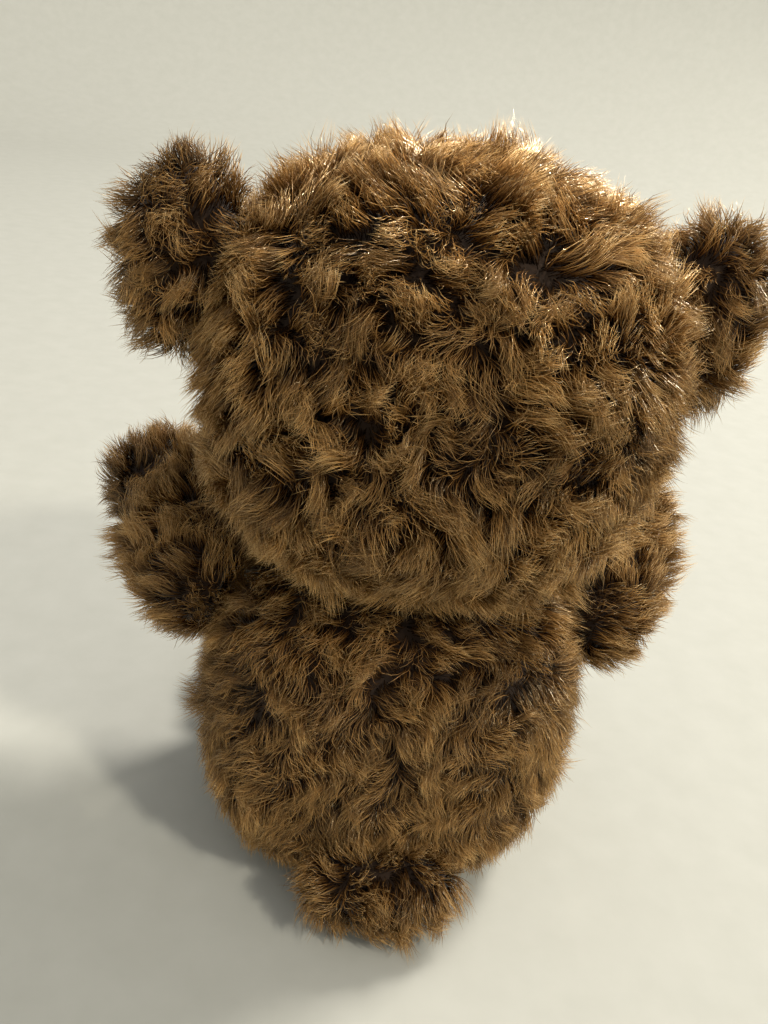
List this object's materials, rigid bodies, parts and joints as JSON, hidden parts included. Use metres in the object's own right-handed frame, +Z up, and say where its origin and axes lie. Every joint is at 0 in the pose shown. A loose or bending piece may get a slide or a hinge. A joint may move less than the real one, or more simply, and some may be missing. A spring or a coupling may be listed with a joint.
{
  "type": "interactive plush pet",
  "caption": "Sitting plush bear cub with long brown fur over a motorised chassis: turning head, jaw, eyelids, ears and arms",
  "frame": {"origin": "on the floor, under the middle of the toy's footprint", "axes": "+Z up, the face looks along -Y, the toy's left is +X"},
  "size_m": [0.198, 0.1512, 0.2308],
  "materials": {
    "fur": "long, glossy pile, combed in locks",
    "light_fur": "short, soft pile",
    "suede": "short nap",
    "felt": "smooth felt",
    "fibre_filling": "loose fibre",
    "shell_plastic": "moulded",
    "gear_plastic": "moulded",
    "dark_plastic": "fine grain",
    "gloss_black": "polished",
    "steel": "plain",
    "cell_wrap": "printed film, no marks",
    "circuit": "lacquered board",
    "speaker_paper": "pressed paper"
  },
  "bodies": {
    "torso": {"torso_fur": "fur", "torso_padding": "fibre_filling", "tail_fur": "fur", "chassis_front": "shell_plastic", "chassis_back": "shell_plastic", "neck_bearing": "gear_plastic", "base_plate": "dark_plastic", "base_screw_front": "steel", "base_screw_back": "steel", "battery_box": "dark_plastic", "cell_1": "cell_wrap", "cell_2": "cell_wrap", "cell_3": "cell_wrap", "speaker_frame": "steel", "speaker_cone": "speaker_paper", "circuit_board": "circuit", "drive_deck": "shell_plastic", "gear_pin": "steel", "turn_motor": "steel", "leg_left_fur": "fur", "leg_right_fur": "fur", "sole_left": "suede", "sole_right": "suede"},
    "battery_hatch": {"battery_door": "dark_plastic", "door_screw": "steel"},
    "power_switch": {"switch_slider": "gear_plastic"},
    "back_sensor": {"back_pat_plate": "gear_plastic"},
    "turn_step_gear": {"step_gear": "gear_plastic"},
    "turn_pinion": {"turn_motor_pinion": "gear_plastic"},
    "head": {"head_fur": "fur", "head_padding": "fibre_filling", "skull_front": "shell_plastic", "skull_back": "shell_plastic", "head_switch": "dark_plastic", "neck_tube": "gear_plastic", "neck_gear": "gear_plastic", "muzzle_fur": "light_fur", "nose": "gloss_black", "eyeball_left": "gloss_black", "eyeball_right": "gloss_black", "jaw_pin": "steel", "face_frame": "shell_plastic", "face_motor": "steel"},
    "eyelids": {"eyelid_left": "light_fur", "eyelid_right": "light_fur", "eyelid_axle": "steel"},
    "jaw": {"jaw_frame": "gear_plastic", "chin_fur": "light_fur", "tongue": "felt"},
    "head_sensor": {"head_pat_plate": "gear_plastic"},
    "face_camshaft": {"camshaft": "gear_plastic"},
    "face_pinion": {"face_motor_pinion": "gear_plastic"},
    "ear_left": {"ear_left_fur": "fur", "ear_left_lever": "gear_plastic"},
    "ear_right": {"ear_right_fur": "fur", "ear_right_lever": "gear_plastic"},
    "arm_left": {"arm_left_fur": "fur", "arm_left_core": "gear_plastic"},
    "arm_right": {"arm_right_fur": "fur", "arm_right_core": "gear_plastic"}
  },
  "joints": [
    {"name": "head_turn", "type": "hinge", "parent": "torso", "child": "head", "pos_m": [0, 0.01165, 0.17081], "axis": [0, 0, 1], "range_deg": [-25, 25]},
    {"name": "turn_step_gear_spin", "type": "hinge", "parent": "torso", "child": "turn_step_gear", "pos_m": [0.02415, 0.01165, 0.075], "axis": [0, 0, 1], "range_deg": [-75, 75]},
    {"name": "turn_pinion_spin", "type": "hinge", "parent": "torso", "child": "turn_pinion", "pos_m": [0.01216, 0.02364, 0.067], "axis": [0, 0, 1], "range_deg": [-188, 188]},
    {"name": "jaw_open", "type": "hinge", "parent": "head", "child": "jaw", "pos_m": [0, -0.01635, 0.14181], "axis": [1, 0, 0], "range_deg": [0, 18], "stiffness_Nm_per_rad": 0.02, "springref_deg": -34.38},
    {"name": "eyelids_close", "type": "hinge", "parent": "head", "child": "eyelids", "pos_m": [0, -0.03435, 0.18181], "axis": [1, 0, 0], "range_deg": [0, 75], "stiffness_Nm_per_rad": 0.002, "springref_deg": -17.19},
    {"name": "ear_left_flick", "type": "hinge", "parent": "head", "child": "ear_left", "pos_m": [0.0475, 0.01165, 0.19181], "axis": [0, 1, 0], "range_deg": [-12, 12], "stiffness_Nm_per_rad": 0.05},
    {"name": "ear_right_flick", "type": "hinge", "parent": "head", "child": "ear_right", "pos_m": [-0.0475, 0.01165, 0.19181], "axis": [0, 1, 0], "range_deg": [-12, 12], "stiffness_Nm_per_rad": 0.05},
    {"name": "head_pat_press", "type": "slide", "parent": "head", "child": "head_sensor", "axis": [0, 0, -1], "range_m": [0, 0.002], "stiffness_N_per_m": 300},
    {"name": "camshaft_spin", "type": "hinge", "parent": "head", "child": "face_camshaft", "pos_m": [0, 0.01965, 0.16481], "axis": [1, 0, 0], "continuous": true},
    {"name": "face_pinion_spin", "type": "hinge", "parent": "head", "child": "face_pinion", "pos_m": [0.028, 0.02994, 0.15452], "axis": [1, 0, 0], "continuous": true},
    {"name": "back_pat_press", "type": "slide", "parent": "torso", "child": "back_sensor", "axis": [0, -1, 0], "range_m": [0, 0.002], "stiffness_N_per_m": 300},
    {"name": "arm_left_swing", "type": "hinge", "parent": "torso", "child": "arm_left", "pos_m": [0.067, 0.01165, 0.096], "axis": [-1, 0, 0], "range_deg": [-25, 40]},
    {"name": "arm_right_swing", "type": "hinge", "parent": "torso", "child": "arm_right", "pos_m": [-0.067, 0.01165, 0.096], "axis": [-1, 0, 0], "range_deg": [-25, 40]},
    {"name": "battery_door_open", "type": "hinge", "parent": "torso", "child": "battery_hatch", "pos_m": [0, -0.00675, 0.0017], "axis": [-1, 0, 0], "range_deg": [0, 95]},
    {"name": "power_switch_slide", "type": "slide", "parent": "torso", "child": "power_switch", "axis": [0, 1, 0], "range_m": [0, 0.004]}
  ],
  "couplings": [
    {"joint": "turn_step_gear_spin", "follows": "head_turn", "ratio": -3},
    {"joint": "turn_pinion_spin", "follows": "head_turn", "ratio": 7.5},
    {"joint": "ear_right_flick", "follows": "ear_left_flick", "ratio": -1},
    {"joint": "face_pinion_spin", "follows": "camshaft_spin", "ratio": -2}
  ]
}
